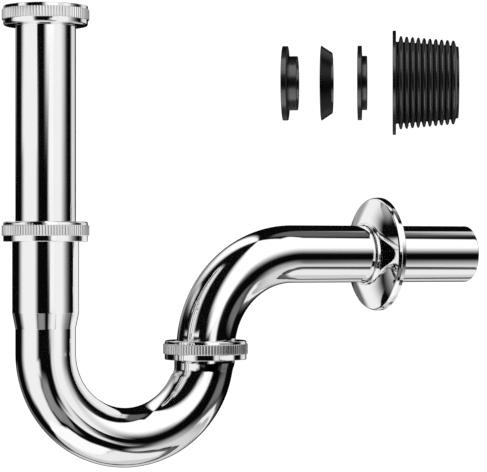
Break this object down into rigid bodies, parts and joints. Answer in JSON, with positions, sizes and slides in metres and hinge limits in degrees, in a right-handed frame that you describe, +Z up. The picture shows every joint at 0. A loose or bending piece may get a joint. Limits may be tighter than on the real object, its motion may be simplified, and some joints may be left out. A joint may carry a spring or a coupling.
{
  "type": "p trap",
  "caption": "Tubular P-trap for a wash basin: upright inlet tube, U bend and wall tube joined by knurled collar nuts, with seals, wall rosette and rubber wall adapter.",
  "frame": {"origin": "under the middle of the whole assembly, level with the lowest point of the U bend", "axes": "+X from the inlet towards the wall, +Z up along the inlet tube, the trap lies in the XZ plane"},
  "size_m": [0.3458, 0.0638, 0.2456],
  "materials": {
    "chrome": "mirror-bright chrome plate on brass",
    "black_rubber": "moulded black rubber, satin",
    "slip_plastic": "natural polyethylene"
  },
  "bodies": {
    "inlet": {"inlet_tube": "chrome", "top_seal": "black_rubber"},
    "top_ring": {"top_slip_ring": "slip_plastic"},
    "top_nut": {"top_nut": "chrome"},
    "cone_seal": {"cone_seal": "black_rubber"},
    "trap": {"u_bend": "chrome", "socket_thread_ring": "chrome", "outlet_thread_ring": "chrome", "lower_seal": "black_rubber"},
    "middle_ring": {"middle_slip_ring": "slip_plastic"},
    "middle_nut": {"middle_nut": "chrome"},
    "outlet": {"outlet_bend": "chrome"},
    "lower_ring": {"lower_slip_ring": "slip_plastic"},
    "lower_nut": {"lower_nut": "chrome"},
    "rosette": {"wall_rosette": "chrome"},
    "adapter": {"wall_adapter": "black_rubber"}
  },
  "joints": [
    {"name": "top_nut_slide", "type": "slide", "parent": "inlet", "child": "top_ring", "axis": [0, 0, 1], "range_m": [-0.085, 0]},
    {"name": "top_nut_turn", "type": "hinge", "parent": "top_ring", "child": "top_nut", "pos_m": [-0.14977, 0, 0.235], "axis": [0, 0, 1], "continuous": true},
    {"name": "height_adjust", "type": "slide", "parent": "inlet", "child": "cone_seal", "axis": [0, 0, 1], "range_m": [-0.02, 0.007]},
    {"name": "trap_swivel", "type": "hinge", "parent": "cone_seal", "child": "trap", "pos_m": [-0.14977, 0, 0.122], "axis": [0, 0, 1], "continuous": true},
    {"name": "middle_ring_lift", "type": "slide", "parent": "trap", "child": "middle_ring", "axis": [0, 0, 1], "range_m": [0, 0.00693]},
    {"name": "middle_nut_turn", "type": "hinge", "parent": "middle_ring", "child": "middle_nut", "pos_m": [-0.14977, 0, 0.122], "axis": [0, 0, 1], "range_deg": [0, 1080]},
    {"name": "outlet_swivel", "type": "hinge", "parent": "trap", "child": "outlet", "pos_m": [-0.05727, 0, 0.062], "axis": [0, 0, 1], "range_deg": [-135, 135]},
    {"name": "lower_ring_lift", "type": "slide", "parent": "trap", "child": "lower_ring", "axis": [0, 0, 1], "range_m": [0, 0.00231]},
    {"name": "lower_nut_turn", "type": "hinge", "parent": "lower_ring", "child": "lower_nut", "pos_m": [-0.05727, 0, 0.062], "axis": [0, 0, 1], "range_deg": [0, 360]},
    {"name": "rosette_slide", "type": "slide", "parent": "outlet", "child": "rosette", "axis": [1, 0, 0], "range_m": [-0.04, 0.003]},
    {"name": "adapter_slide", "type": "slide", "parent": "outlet", "child": "adapter", "axis": [1, 0, 0], "range_m": [-0.082, 0]}
  ],
  "couplings": [
    {"joint": "middle_ring_lift", "follows": "middle_nut_turn", "m_per_rad": 0.00036749},
    {"joint": "lower_ring_lift", "follows": "lower_nut_turn", "m_per_rad": 0.00036749}
  ]
}
